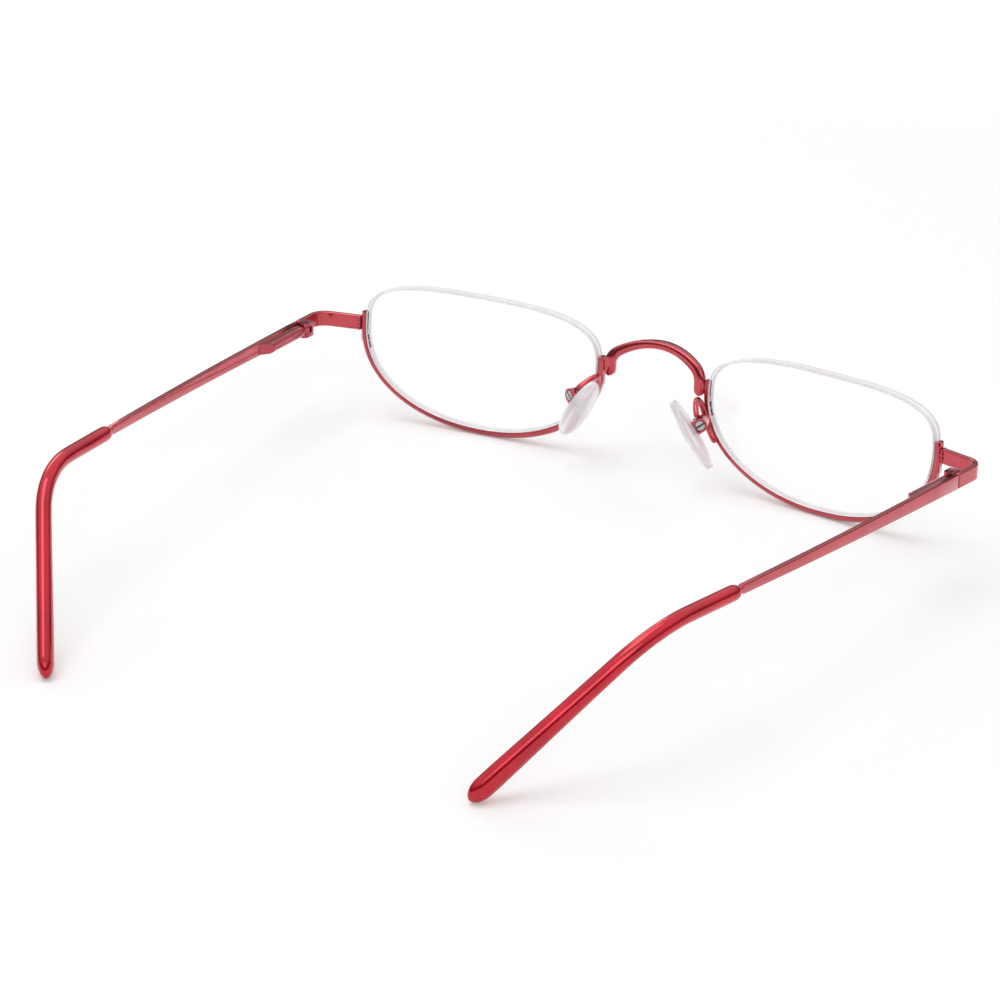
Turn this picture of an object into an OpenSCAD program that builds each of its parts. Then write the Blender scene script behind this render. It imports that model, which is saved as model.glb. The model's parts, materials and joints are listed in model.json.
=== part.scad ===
/* [Lenses] */
// Width of one lens at its widest level
lens_w = 47.5; // [45:0.5:51]
// Height of one lens
lens_h = 25; // [23:0.5:28]
// Gap between the two lenses
lens_gap = 23.5; // [21.5:0.5:25.5]
// Height of the widest level above the middle of the lens
widest_rise = 3.6; // [2.6:0.2:4.6]
// Squareness of the upper outer corner, where 2 is an ellipse
crown_out = 3.7; // [2.6:0.1:4]
// Squareness of the upper inner corner
crown_in = 3.3; // [2.6:0.1:4]
// Squareness of the lower inner quarter
belly_in = 2.05; // [1.9:0.05:2.3]
// Squareness of the lower outer quarter
belly_out = 2.15; // [1.9:0.05:2.3]
// Radius of the front surface
front_radius = 130; // [100:5:200]
// Radius of the rear surface, flatter than the front for a reading power
rear_radius = 145; // [110:5:220]
// Thickness in the middle of the lens
lens_t = 2.4; // [2.2:0.1:3]
// Tilt of the front, lower edge towards the cheeks
panto = 3; // [1:0.5:6]
// Turn of each lens round the face
wrap = 5.5; // [3:0.5:7]
// Drop of the lens's middle below the line of the temples
lens_drop = 4; // [3:0.2:5]

/* [Lens edge groove, nylon cord and liner] */
// Width of the groove in the lens edge
groove_w = 0.6; // [0.5:0.05:0.7]
// Depth of the groove in the lens edge
groove_d = 0.5; // [0.4:0.05:0.6]
// Distance of the groove's middle behind the front surface
groove_set = 1.1; // [1:0.05:1.2]
// Diameter of the nylon cord
cord_d = 0.44; // [0.36:0.02:0.48]
// Clearance of the cord in its hole through the rim
cord_fit = 0.06; // [0.04:0.01:0.1]
// Distance between the two cord holes at each end of a rim
cord_pitch = 1.3; // [1.1:0.1:1.6]
// Width of the nylon liner between lens and rim
liner_w = 0.5; // [0.4:0.02:0.54]

/* [Rims] */
// Thickness of the rim wire outwards from the lens
rim_t = 1.1; // [1:0.05:1.3]
// Depth of the rim wire, front to back
rim_w = 1.8; // [1.6:0.1:2.2]
// Depth of the channel on the inside of the rim
channel_d = 0.5; // [0.4:0.05:0.6]
// Clearance between the lens edge and the rim
lens_fit = 0.05; // [0.03:0.01:0.08]
// Height of the rim's inner end above the middle of the lens
rim_end_in = 6; // [5.2:0.2:6.8]
// Height of the rim's outer end above the middle of the lens
rim_end_out = 6; // [5.6:0.2:6.6]
// Drop of the first cord hole below the inner end of the rim
hole_drop_in = 3.6; // [3.2:0.1:4]
// Drop of the first cord hole below the outer end of the rim
hole_drop_out = 4.2; // [4:0.1:4.6]

/* [Bridge] */
// Height of the bridge's top above the line of the temples
bridge_top = 6.6; // [6:0.2:7.4]
// Outer radius of the bridge's arch
bridge_r = 16; // [14:0.5:18]
// Radius of the bends between the arch and its feet, at the middle of the bar
shoulder_r = 3; // [2.4:0.2:3.6]
// Height of the bar at the crown
crown_h = 1.4; // [1.2:0.1:1.8]
// Depth of the bar at the crown
crown_w = 2.1; // [1.7:0.1:2.5]
// Distance that the crown bows forward
bridge_bow = 2.2; // [1:0.2:3]
// Width of each foot of the bridge
foot_w = 2.1; // [1.9:0.1:2.3]
// Length of each foot below its bend
foot_l = 2.2; // [1.8:0.1:2.6]
// Thickness of each foot
foot_t = 1.3; // [1:0.1:1.6]
// Brazing gap between pieces of the front
braze = 0.08; // [0.06:0.01:0.1]

/* [Endpieces and hinges] */
// Distance of the hinge screw from the middle of the frame
hinge_x = 66.4; // [65.8:0.1:67.2]
// Distance of the hinge screw behind the lens apex
hinge_y = 14.7; // [14:0.1:16]
// Thickness of the endpiece band
band_t = 1; // [0.9:0.05:1.1]
// Height of the endpiece band
band_h = 2.8; // [2.7:0.1:3.2]
// Radius of the endpiece's bend, at the middle of the band
band_bend = 3; // [2.4:0.1:3.4]
// Backward slope of the endpiece from the rim to the bend
band_slope = 15; // [12:1:18]
// Distance of the hinge screw from the outer face of the frame
hinge_inset = 2.05; // [2:0.05:2.2]
// Radius of the hinge ears round the screw
ear_r = 0.95; // [0.85:0.05:0.95]
// Length of the hinge block brazed to the endpiece, ahead of the screw
block_l = 1.8; // [1.6:0.1:2.4]
// Height of the middle knuckle between the ears
knuckle_h = 1.1; // [1:0.05:1.15]
// Gap above and below the middle knuckle
knuckle_fit = 0.08; // [0.05:0.01:0.1]
// Diameter of the hinge screw
screw_d = 0.9; // [0.8:0.05:1]
// Running clearance of the knuckle round the screw
screw_fit = 0.04; // [0.02:0.01:0.06]
// Diameter of the hinge screw's head
head_d = 1.3; // [1.2:0.05:1.5]
// Height of the hinge screw's head
head_h = 0.35; // [0.3:0.05:0.4]
// Depth of the hinge screw's head below the top of its ear
head_sink = 0.12; // [0.1:0.02:0.16]
// Gap of the butt joint between endpiece and temple
butt_gap = 0.35; // [0.32:0.01:0.45]

/* [Spring mechanism] */
// Length of the spring housing
housing_l = 12.2; // [12:0.1:13]
// Distance of the housing's mouth behind the hinge screw
housing_start = 2.4; // [2.3:0.05:2.6]
// Depth of the housing inwards from the temple bar
housing_t = 1.95; // [1.9:0.05:2.05]
// Height of the housing
housing_h = 2; // [1.9:0.1:2.2]
// Radius of the housing's two inner edges
housing_round = 0.8; // [0.5:0.1:0.9]
// Slant of the housing's rear end away from the bar
housing_cut = 38; // [20:1:50]
// Diameter of the housing's bore
bore_d = 1.3; // [1.24:0.02:1.34]
// Running clearance of the plunger in the bore
plunger_fit = 0.05; // [0.03:0.01:0.08]
// Diameter of the plunger's rod
rod_d = 0.54; // [0.5:0.02:0.56]
// Length of the plunger's neck between its knuckle and its piston
plunger_neck = 0.6; // [0.4:0.1:0.8]
// Length of the piston that stays in the housing at full draw
piston_guide = 0.95; // [0.8:0.05:1.2]
// Thickness of the bush that the spring rests on
bush_t = 0.7; // [0.6:0.05:0.8]
// Free length of the spring between bush and retainer
spring_l = 5.5; // [5.2:0.1:5.8]
// Diameter of the spring wire
wire_d = 0.22; // [0.18:0.01:0.23]
// Number of turns of the spring
spring_turns = 7; // [6:1:8]
// Thickness of the retainer on the end of the rod
retainer_t = 0.6; // [0.5:0.05:0.7]
// Greatest draw of the plunger out of the housing
draw = 0.8; // [0.6:0.1:1]
// Free room behind the plunger's rod in the bore
bore_spare = 0.5; // [0.3:0.1:1]

/* [Temples] */
// Angle at which the temples close in towards their tips
splay = 4.2; // [0:0.2:6]
// Length of the temple bar from the hinge screw to the plastic tip
bar_l = 66; // [60:1:72]
// Thickness of the temple bar
bar_t = 1; // [0.9:0.05:1.1]
// Height of the temple bar at the hinge
bar_h = 2.8; // [2.6:0.1:3.2]
// Height of the temple bar ahead of the tip
bar_end_h = 1.7; // [1.5:0.1:1.9]
// Length of the bar's narrowed end ahead of the tip
bar_nose = 1.4; // [1:0.1:1.8]
// Inward bow of the temple bar over its length
bar_bow = 1; // [0.6:0.1:1.6]
// Diameter of the core wire inside the tip
core_d = 1.2; // [1:0.05:1.3]
// Length of the core wire inside the tip
core_l = 50; // [44:1:54]
// Clearance of the core wire in the tip
core_fit = 0.05; // [0.03:0.01:0.08]
// Straight length at the front of the tip
tip_straight = 13; // [10:1:16]
// Radius of the tip's bend
tip_bend = 18; // [14:1:22]
// Straight length behind the bend
tip_drop_l = 31; // [28:1:34]
// Downward slope of the tip behind its bend
tip_down = 40; // [36:1:44]
// Inward turn of the tip behind its bend
tip_in = 34; // [28:1:38]
// Diameter of the tip at its front
tip_d = 2.8; // [2.6:0.1:3.1]
// Height of the tip at its paddle end
paddle_h = 4.3; // [3.9:0.1:4.8]
// Thickness of the tip at its paddle end
paddle_t = 3; // [2.8:0.1:3.4]

/* [Nose pads] */
// Distance of the pad screw from the middle of the frame
pad_x = 13.1; // [12.7:0.1:13.5]
// Distance of the pad screw behind the lens apex
pad_y = 5.7; // [5.4:0.1:6.2]
// Drop of the pad screw below the line of the temples
pad_drop = 4.3; // [4:0.1:4.8]
// Lean of the pad's long axis in the front view
pad_lean = 35; // [31:1:39]
// Rearward tilt of the pads' upper ends
pad_tilt = 13; // [10:1:16]
// Splay of the pads, rear edges apart
pad_splay = 18; // [14:1:22]
// Length of a nose pad
pad_l = 13.8; // [12.8:0.2:14.8]
// Width of a nose pad
pad_w = 6.1; // [5.5:0.1:6.7]
// Thickness of a nose pad
pad_t = 1.8; // [1.6:0.1:2]
// Distance of the pad's middle below its screw, along the pad
pad_sink = 0.8; // [0.4:0.1:1.2]
// Width of the pad box, and the diameter of its round back
box_w = 2.6; // [2.5:0.05:2.8]
// Depth of the pad box from the screw towards the pad
box_d = 1.15; // [1.1:0.05:1.25]
// Thickness of the pad box's wall
box_wall = 0.45; // [0.4:0.02:0.5]
// Gap between the pad box and the pad
pad_gap = 0.5; // [0.45:0.05:0.6]
// Thickness of the insert's tab
tab_t = 0.7; // [0.6:0.05:0.8]
// Diameter of the pad screw
pad_screw_d = 0.7; // [0.6:0.02:0.74]
// Diameter of the pad screw's head
pad_head_d = 1.7; // [1.6:0.05:1.75]
// Diameter of the pad arm's wire
arm_d = 1.1; // [1:0.05:1.2]
// Rise of the pad arm's loop above its foot
loop_rise = 2.6; // [2.3:0.1:3]
// Distance of the pad arm's loop behind its foot
loop_back = 1.6; // [1.3:0.1:2]
// Distance of the pad arm's loop inwards from its foot
loop_in = 0.7; // [0.4:0.1:1]
// Length of the pad arm's foot along the rim
foot_run = 4.6; // [4:0.2:5.2]
// Direction from which the arm meets the box, up from straight back
arm_seat = 84; // [76:2:90]

/* [Hidden] */
$fn = 48;
left = 1;
right = -1;
red = "#c4505c";
dark_red = "#a83a48";
steel = "#c8c8cc";
clear = "#eef2f4";
nylon = "#f6f6f4";
tip_red = "#b01028";

lens_x = (lens_gap + lens_w) / 2;
crown_up = lens_h / 2 - widest_rise;
belly_down = lens_h / 2 + widest_rise;

// General helpers: a blend, a unit vector and a signed power
function mix(a, b, k) = a + (b - a) * k;
function unit(v) = v / norm(v);
function spow(b, e) = sign(b) * pow(abs(b), e);
function turn_x(p, a) = [p.x, p.y * cos(a) - p.z * sin(a), p.y * sin(a) + p.z * cos(a)];
function turn_y(p, a) = [p.x * cos(a) + p.z * sin(a), p.y, p.z * cos(a) - p.x * sin(a)];
function turn_z(p, a) = [p.x * cos(a) - p.y * sin(a), p.x * sin(a) + p.y * cos(a), p.z];

// Lens outline: four quarter curves about the widest level, 0 degrees outwards and 90 up
function squareness(a) =
    let (t = (a + 360) % 360) t < 90 ? crown_out : t < 180 ? crown_in : t < 270 ? belly_in : belly_out;
function half_height(a) = sin(a) >= 0 ? crown_up : belly_down;
function edge(a, off = 0) =
    let (n = squareness(a), h = half_height(a),
        x = spow(cos(a), 2 / n), z = spow(sin(a), 2 / n),
        g = unit([spow(x, n - 1) * 2 / lens_w, spow(z, n - 1) / h]))
    [x * lens_w / 2 + off * g.x, widest_rise + z * h + off * g.y];
// Angle at which the outline stands at a height, on its inner or its outer side
function edge_angle(z, inner) =
    let (k = (z - widest_rise) / (z > widest_rise ? crown_up : belly_down),
        n = inner ? (k > 0 ? crown_in : belly_in) : (k > 0 ? crown_out : belly_out),
        a = asin(spow(k, n / 2)))
    inner ? 180 - a : 360 + a;
// Depth of the groove's middle surface, which follows the front surface
function sag(p) = front_radius - sqrt(pow(front_radius, 2) - p.x * p.x - p.y * p.y);
// A place near the lens edge: angle, distance outwards, distance rearwards
function near_lens(a, off, depth) =
    let (p = edge(a, off)) [p.x, sag(p) + depth, p.y];
// The same place in the frame of the temple line
function on_front(p) = turn_x(turn_z(p, wrap) + [lens_x, 0, -lens_drop], panto);
function at_lens(a, off, depth) = on_front(near_lens(a, off, depth));

rim_from = edge_angle(rim_end_in, true);
rim_to = edge_angle(rim_end_out, false);
hole_in = edge_angle(rim_end_in - hole_drop_in, true);
hole_in_2 = edge_angle(rim_end_in - hole_drop_in - cord_pitch, true);
hole_out = edge_angle(rim_end_out - hole_drop_out, false);
hole_out_2 = edge_angle(rim_end_out - hole_drop_out - cord_pitch, false);

// Solids made of rings of points, closed at both ends
module loft(rings) {
    n = len(rings[0]);
    m = len(rings);
    a = rings[0];
    inwards = cross(a[1] - a[0], a[2] - a[1]) * (rings[1][0] - a[0]) > 0;
    sides = [for (j = [0:m - 2], i = [0:n - 1])
        let (p = j * n + i, q = j * n + (i + 1) % n) each [[p, q, q + n], [p, q + n, p + n]]];
    caps = [[for (i = [n - 1:-1:0]) i], [for (i = [0:n - 1]) (m - 1) * n + i]];
    faces = concat(caps, sides);
    polyhedron(points = [for (r = rings) each r],
        faces = inwards ? [for (f = faces) [for (i = [len(f) - 1:-1:0]) f[i]]] : faces, convexity = 6);
}
// A ring round a point: side and up are unit vectors, e is 2 for round and more for square
function ring(c, side, up, ra, rb, e = 2, n = 12) =
    [for (k = [0:n - 1]) let (t = 360 * k / n)
        c + side * ra * spow(cos(t), 2 / e) + up * rb * spow(sin(t), 2 / e)];
// Rings along a wire; ref is a direction that the wire never takes
function wire(path, r, ref, n = 8) =
    [for (i = [0:len(path) - 1])
        let (t = unit(path[min(i + 1, len(path) - 1)] - path[max(i - 1, 0)]),
            s = unit(cross(t, ref)))
        ring(path[i], s, cross(s, t), r, r, 2, n)];

module side(s) { mirror([s < 0 ? 1 : 0, 0, 0]) children(); }
module on_lens() {
    rotate([panto, 0, 0]) translate([lens_x, 0, -lens_drop]) rotate([0, 0, wrap]) children();
}

// Lens: a meniscus with an edge groove for the cord and the liner
module lens_prism(off, front, back) {
    intersection() {
        translate([0, 8, 0]) rotate([90, 0, 0])
            linear_extrude(16) polygon([for (a = [0:5:355]) edge(a, off)]);
        difference() {
            translate([0, front.x + front.y, 0]) sphere(front.y, $fn = 240);
            translate([0, back.x + back.y, 0]) sphere(back.y, $fn = 240);
        }
    }
}
module lens(s) {
    front = -groove_set;
    color(clear, 0.35) side(s) on_lens() difference() {
        lens_prism(0, [front, front_radius], [front + lens_t, rear_radius]);
        difference() {
            lens_prism(1, [-groove_w / 2, front_radius], [groove_w / 2, front_radius]);
            translate([0, 9, 0]) rotate([90, 0, 0])
                linear_extrude(18) polygon([for (a = [0:5:355]) edge(a, -groove_d)]);
        }
    }
}

// Rim: a half eyewire with a channel inside and rounded shoulders outside
rim_in = lens_fit;
rim_out = lens_fit + rim_t;
rim_flat = rim_w / 4;
module rim(s) {
    w = rim_w / 2;
    c = groove_w / 2;
    d = rim_in + channel_d;
    profile = [[rim_in, -w + 0.15], [rim_in, -c], [d, -c], [d, c], [rim_in, c], [rim_in, w - 0.15],
        [rim_in + 0.2, w], [mix(rim_in, rim_out, 0.65), w], [rim_out, rim_flat],
        [rim_out, -rim_flat], [mix(rim_in, rim_out, 0.65), -w], [rim_in + 0.2, -w]];
    steps = 46;
    color(red) side(s) difference() {
        loft([for (i = [0:steps]) let (a = mix(rim_from, rim_to, i / steps))
            [for (p = profile) at_lens(a, p.x, p.y)]]);
        on_lens() for (a = [hole_in, hole_in_2, hole_out, hole_out_2]) cord_hole(a);
    }
}
module cord_hole(a) {
    p = near_lens(a, 0, 0);
    q = near_lens(a, 1, 0) - p;
    translate(p) rotate([0, 0, atan2(q.y, q.x)]) rotate([0, 90 - asin(q.z / norm(q)), 0])
        translate([0, 0, -1]) cylinder(d = cord_d + 2 * cord_fit, h = 4, $fn = 24);
}

// Nylon liner: lies in the rim's channel and in the lens's groove
module rim_liner(s) {
    w = liner_w / 2;
    lo = -groove_d + lens_fit;
    hi = rim_in + channel_d - lens_fit;
    start = edge_angle(rim_end_in - hole_drop_in - 2 * cord_pitch, true);
    end = edge_angle(rim_end_out - hole_drop_out - 2 * cord_pitch, false);
    steps = 40;
    color(nylon) side(s) loft([for (i = [0:steps]) let (a = mix(start, end, i / steps))
        [at_lens(a, lo, -w), at_lens(a, lo, w), at_lens(a, hi, w), at_lens(a, hi, -w)]]);
}

// Nylon cord: in the lens's groove over the top, out through one hole and back by the next
cord_off = 0.06 + cord_d / 2 - groove_d;
cord_out = rim_out + cord_d / 2 + 0.04;
function cord_end(a1, a2) =
    let (mid = (cord_off + cord_out) / 2, bend = 0.32)
    [[a1, mid], [a1, cord_out - bend], [mix(a1, a2, 0.09), cord_out - 0.09],
        [mix(a1, a2, 0.28), cord_out], [mix(a1, a2, 0.72), cord_out], [mix(a1, a2, 0.91), cord_out - 0.09],
        [a2, cord_out - bend], [a2, mid], [a2, cord_off + 0.1]];
module lens_cord(s) {
    start = hole_in;
    end = hole_out - 360;
    steps = 44;
    lead = 0.8;
    over = [for (i = [1:steps - 1]) [mix(start - lead, end + lead, i / steps), cord_off]];
    turn_in = cord_end(hole_in, hole_in_2);
    turn_out = cord_end(hole_out - 360, hole_out_2 - 360);
    back_in = [for (i = [len(turn_in) - 1:-1:0]) turn_in[i]];
    corner_in = [[start, cord_off + 0.32], [start - 0.25, cord_off + 0.07]];
    corner_out = [[end + 0.25, cord_off + 0.07], [end, cord_off + 0.32]];
    path = [for (p = concat(back_in, corner_in, over, corner_out, turn_out)) near_lens(p.x, p.y, 0)];
    color(nylon) side(s) on_lens() loft(wire(path, cord_d / 2, [0, 1, 0]));
}

// Bridge: an arched bar that bends down at both ends into feet brazed to the rims
foot_x = at_lens(180, rim_out, 0).x - braze - foot_w / 2;
foot_y = at_lens(180, rim_out, 0).y;
arch_r = bridge_r - crown_h / 2;
arch_z = bridge_top - bridge_r;
shoulder_x = foot_x - shoulder_r;
shoulder_z = arch_z + sqrt(pow(arch_r - shoulder_r, 2) - pow(shoulder_x, 2));
arch_turn = asin(shoulder_x / (arch_r - shoulder_r));
// Ring of the bar at a place: x, height, direction outwards and share of its full height
function bar_ring(x, z, a, share = 1) =
    let (k = pow(x / foot_x, 2), out = [sin(a), 0, cos(a)])
    ring([x, foot_y - bridge_bow * (1 - k), z], out, [0, 1, 0],
        mix(crown_h, foot_w, k) / 2 * share, mix(crown_w, foot_t, k) / 2, 5, 16);
// Places from the crown to the end of one foot
bridge_half = concat(
    [for (i = [1:9]) let (a = arch_turn * i / 9) [arch_r * sin(a), arch_z + arch_r * cos(a), a, 1]],
    [for (i = [1:7]) let (a = mix(arch_turn, 90, i / 7))
        [shoulder_x + shoulder_r * sin(a), shoulder_z + shoulder_r * cos(a), a, 1]],
    [for (i = [0:4]) let (a = 86 * i / 4)
        [foot_x, shoulder_z - foot_l + foot_w / 2 * (1 - sin(a)), 90, cos(a)]]);
module bridge() {
    last = len(bridge_half) - 1;
    color(red) loft(concat(
        [for (i = [last:-1:0]) let (p = bridge_half[i]) bar_ring(-p[0], p[1], -p[2], p[3])],
        [bar_ring(0, arch_z + arch_r, 0)],
        [for (p = bridge_half) bar_ring(p[0], p[1], p[2], p[3])]));
}

// Hinge frame: origin on the hinge screw, x outwards, y along the temple
module on_hinge() { translate([hinge_x, hinge_y, 0]) rotate([0, 0, splay]) children(); }
function from_hinge(p) = turn_z(p, splay) + [hinge_x, hinge_y, 0];
function to_hinge(p) = turn_z(p - [hinge_x, hinge_y, 0], -splay);
module lengthways(y) { translate([0, y, 0]) rotate([-90, 0, 0]) children(); }

// Endpiece: a flat band from the rim's outer end round to the hinge
band_x = hinge_inset - band_t / 2;
band_from = at_lens(0, rim_out, 0) + [braze, 0, 0];
band_start = to_hinge([band_from.x, band_from.y, 0]);
band_turn = band_slope - splay;
corner_y = band_start.y + (band_x - band_start.x) * tan(band_turn);
bend_middle = [band_x - band_bend, corner_y + band_bend * tan((90 - band_turn) / 2)];
// One side of the band in plan: along the slope, round the bend and back to the hinge
function band_side(off) = concat(
    [[band_start.x, band_start.y] + off * [sin(band_turn), -cos(band_turn)] - [cos(band_turn), sin(band_turn)]],
    [for (i = [0:12]) let (a = mix(band_turn, 90, i / 12)) bend_middle + (band_bend + off) * [sin(a), -cos(a)]],
    [[band_x + off, 0]]);
module endpiece(s) {
    outer = band_side(band_t / 2);
    inner = band_side(-band_t / 2);
    back = [for (i = [len(inner) - 1:-1:0]) inner[i]];
    color(red) side(s) on_hinge() difference() {
        linear_extrude(band_h, center = true) polygon(concat(outer, back));
        translate(band_start) rotate([0, 0, wrap - splay]) translate([-4, -4, -band_h]) cube([4, 8, 2 * band_h]);
    }
}

// Hinge half on the front: a brazed block with two ears round the screw
ear_gap = knuckle_h + 2 * knuckle_fit;
ear_x = hinge_inset - band_t;
bar_in = hinge_inset - bar_t;
slot_fit = 0.2;
head_fit = 0.05;
module front_hinge(s) {
    slot_front = ear_r + slot_fit;
    color(dark_red) side(s) on_hinge() difference() {
        union() {
            translate([-ear_r, -block_l, -band_h / 2]) cube([ear_r + ear_x, block_l, band_h]);
            cylinder(r = ear_r, h = band_h, center = true);
        }
        translate([-2 * ear_r, -slot_front, -ear_gap / 2]) cube([4 * ear_r, 4 * ear_r, ear_gap]);
        cylinder(d = screw_d + 2 * screw_fit, h = band_h + 1, center = true);
        translate([0, 0, band_h / 2 - head_h - head_sink - head_fit]) cylinder(d = head_d + 2 * head_fit, h = 1);
    }
}
module hinge_screw(s) {
    low = head_fit - band_h / 2;
    top = band_h / 2 - head_sink;
    color(steel) side(s) on_hinge() difference() {
        union() {
            translate([0, 0, low]) cylinder(d = screw_d, h = top - head_h / 2 - low);
            translate([0, 0, top - head_h]) cylinder(d = head_d, h = head_h);
        }
        translate([0, 0, top]) cube([head_d + 1, 0.3, 0.4], center = true);
    }
}

// Plunger: the middle knuckle, with a piston and a rod that the spring pulls into the housing
piston_start = ear_r + plunger_neck;
piston_end = housing_start + draw + piston_guide;
bush_start = piston_end + 0.1;
seat_gap = 0.05;
spring_start = bush_start + bush_t + seat_gap;
retainer_start = spring_start + spring_l + seat_gap;
rod_end = retainer_start + retainer_t;
neck_w = 1.1;
module hinge_plunger(s) {
    color(steel) side(s) on_hinge() difference() {
        union() {
            cylinder(r = ear_r, h = knuckle_h, center = true);
            translate([-neck_w / 2, 0, -knuckle_h / 2]) cube([neck_w, piston_start + 0.4, knuckle_h]);
            lengthways(piston_start) cylinder(d = bore_d - 2 * plunger_fit, h = piston_end - piston_start);
            lengthways(piston_end - 0.2) cylinder(d = rod_d, h = rod_end - piston_end + 0.2);
        }
        cylinder(d = screw_d + 2 * screw_fit, h = 2 * knuckle_h, center = true);
    }
}
bush_fit = 0.04;
module disc_with_bore(y, d, hole, h) {
    lengthways(y) difference() {
        cylinder(d = d, h = h);
        translate([0, 0, -1]) cylinder(d = hole, h = h + 2);
    }
}
module spring_bush(s) {
    color(steel) side(s) on_hinge()
        disc_with_bore(bush_start, bore_d - bush_fit, rod_d + 2 * plunger_fit, bush_t);
}
module spring_retainer(s) {
    color(steel) side(s) on_hinge()
        disc_with_bore(retainer_start, bore_d - 2 * plunger_fit, rod_d + bush_fit / 2, retainer_t);
}
// Compression spring round the rod
coil_r = (bore_d - wire_d) / 2 - 0.08;
coil_rise = spring_l - wire_d - 2 * seat_gap;
coil_gap = coil_rise / spring_turns - wire_d;
module hinge_spring(s) {
    echo(gap_between_spring_turns = coil_gap);
    steps = spring_turns * 8;
    color(steel) side(s) on_hinge() translate([0, spring_start + wire_d / 2 + seat_gap, 0])
        loft([for (i = [0:steps]) let (a = 45 * i, out = [cos(a), 0, sin(a)])
            ring(out * coil_r + [0, coil_rise * i / steps, 0], out, [0, 1, 0], wire_d / 2, wire_d / 2, 2, 6)]);
}

// Spring housing: brazed to the inner face of the temple bar
module spring_housing(s) {
    inner = bar_in - housing_t;
    r = housing_round;
    color(dark_red) side(s) on_hinge() difference() {
        lengthways(housing_start) linear_extrude(housing_l) union() {
            translate([inner + r, -housing_h / 2]) square([housing_t - r, housing_h]);
            translate([inner, -housing_h / 2 + r]) square([housing_t, housing_h - 2 * r]);
            for (z = [-1, 1]) translate([inner + r, z * (housing_h / 2 - r)]) circle(r);
        }
        lengthways(housing_start - 1) cylinder(d = bore_d, h = rod_end - housing_start + 1 + bore_spare);
        translate([bar_in, housing_start + housing_l, 0]) rotate([0, 0, 90 - housing_cut])
            translate([-2 * housing_h, 0, -housing_h]) cube(2 * housing_h);
    }
}

// Temple bar: tapers in height, bows inwards and runs on as the core wire inside the tip
bar_x = hinge_inset - bar_t / 2;
bow_from = housing_start + housing_l;
function bow_at(y) = bar_bow * pow(max((y - bow_from) / (bar_l - bow_from), 0), 2);
tip_dir = unit([-2 * bar_bow / (bar_l - bow_from), 1, 0]);
tip_from = [bar_x - bar_bow, bar_l, 0];
drop_dir = [-sin(tip_in) * cos(tip_down), cos(tip_in) * cos(tip_down), -sin(tip_down)];
tip_turn = acos(tip_dir * drop_dir);
turn_dir = unit(drop_dir - (tip_dir * drop_dir) * tip_dir);
plane_dir = cross(tip_dir, turn_dir);
tip_arc = tip_bend * tip_turn * PI / 180;
tip_l = tip_straight + tip_arc + tip_drop_l;
function tip_angle(l) = min(max((l - tip_straight) / tip_arc, 0), 1) * tip_turn;
function tip_along(l) =
    let (a = tip_angle(l), after = max(l - tip_straight - tip_arc, 0))
    tip_from + tip_dir * min(l, tip_straight) + tip_bend * (tip_dir * sin(a) + turn_dir * (1 - cos(a)))
        + drop_dir * after;
function tip_heading(l) = let (a = tip_angle(l)) tip_dir * cos(a) + turn_dir * sin(a);
// The tip's section keeps the bar's upright stance, carried along the bend
tip_roll = atan2(cross(tip_dir, plane_dir).x, plane_dir.x);
function tip_side(l) = cos(tip_roll) * plane_dir + sin(tip_roll) * cross(tip_heading(l), plane_dir);
function tip_ring(l, ra, rb, e = 2, n = 12) =
    ring(tip_along(l), tip_side(l), cross(tip_side(l), tip_heading(l)), ra, rb, e, n);

module temple_bar(s) {
    stations = 9;
    flat_l = bar_l - bar_nose;
    neck_l = bar_l - bar_nose * 0.4;
    arc_stops = [for (i = [1:7]) tip_straight + tip_arc * i / 7];
    stops = concat([0, tip_straight], arc_stops, [core_l - 0.3, core_l]);
    color(red) side(s) on_hinge() loft(concat(
        [for (i = [0:stations]) let (y = mix(butt_gap, flat_l, i / stations))
            ring([bar_x - bow_at(y), y, 0], [1, 0, 0], [0, 0, 1],
                bar_t / 2, mix(bar_h, bar_end_h, y / bar_l) / 2, 6, 16)],
        [ring([bar_x - bow_at(neck_l), neck_l, 0], [1, 0, 0], [0, 0, 1], core_d / 2, core_d / 2, 3, 16)],
        [for (l = stops) let (r = core_d / 2 * (l == core_l ? 0.6 : 1)) tip_ring(l, r, r, 2, 16)]));
}

// Plastic tip: a sleeve over the core wire that bends behind the ear and swells to a paddle
function tip_half(l) =
    let (grow = pow(min(max((l - tip_straight) / (tip_l - tip_straight - 6), 0), 1), 2),
        dome = min(l / 1.6, 1), tail = min((tip_l - l) / 3.2, 1),
        nose = mix(0.62, 1, sqrt(1 - pow(1 - dome, 2))), round_end = max(sqrt(1 - pow(1 - tail, 2)), 0.12))
    [mix(tip_d, paddle_t, grow), mix(tip_d, paddle_h, grow)] / 2 * nose * round_end;
module temple_tip(s) {
    mid = [for (i = [0:9]) tip_straight + tip_arc * i / 9];
    tail = [for (i = [1:4]) mix(tip_straight + tip_arc, tip_l - 3.2, i / 4)];
    stops = concat([0, 0.2, 0.6, 1.1, 1.6, 7], mid, tail, [for (d = [2.2, 1.3, 0.6, 0.2, 0]) tip_l - d]);
    bore = concat([-0.5, 2], mid, [core_l + 0.4]);
    color(tip_red, 0.8) side(s) on_hinge() difference() {
        loft([for (l = stops) let (h = tip_half(l)) tip_ring(l, h.x, h.y, 2, 16)]);
        loft([for (l = bore) tip_ring(l, core_d / 2 + core_fit, core_d / 2 + core_fit, 2, 16)]);
    }
}

// Nose pad parts share a frame on the pad screw: x from the pad to the box, y along the screw
module on_pad() {
    rotate([panto, 0, 0]) translate([pad_x, pad_y, -pad_drop])
        rotate([0, -pad_lean, 0]) rotate([-pad_tilt, 0, 0]) rotate([0, 0, -pad_splay]) children();
}
function from_pad(p) =
    turn_x(turn_y(turn_x(turn_z(p, -pad_splay), -pad_tilt), -pad_lean) + [pad_x, pad_y, -pad_drop], panto);

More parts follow.
